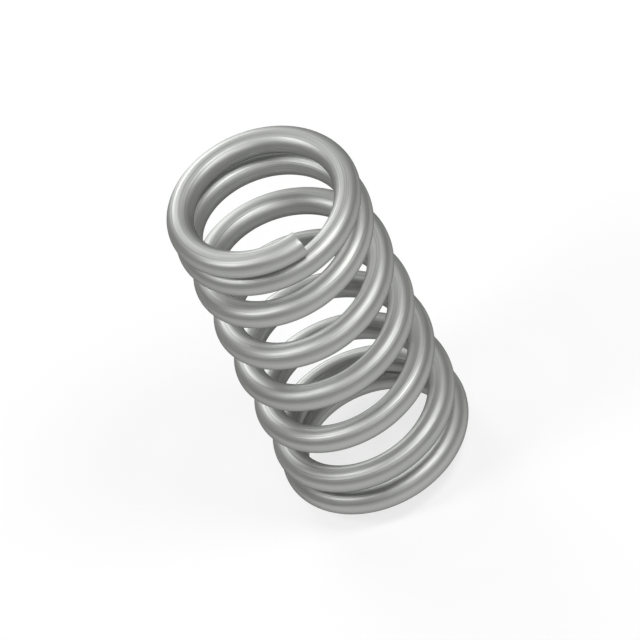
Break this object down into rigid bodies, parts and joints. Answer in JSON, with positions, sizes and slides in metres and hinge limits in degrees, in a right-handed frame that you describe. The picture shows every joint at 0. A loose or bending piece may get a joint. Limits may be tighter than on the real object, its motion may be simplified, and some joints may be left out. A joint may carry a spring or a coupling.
{
  "type": "compression spring",
  "caption": "Small helical compression spring of round steel wire, right-hand wound, with closed, unground ends. It pushes back along its axis when squeezed.",
  "frame": {"origin": "on the coil axis, level with the lowest point of the wire", "axes": "+Z along the coil axis from the lower end seat to the upper one; +X through the lower cut end of the wire"},
  "size_m": [0.0116, 0.0116, 0.0249],
  "materials": {
    "spring_steel": "bright drawn spring wire, satin sheen"
  },
  "bodies": {
    "root": {"spring_wire": "spring_steel"}
  },
  "joints": []
}
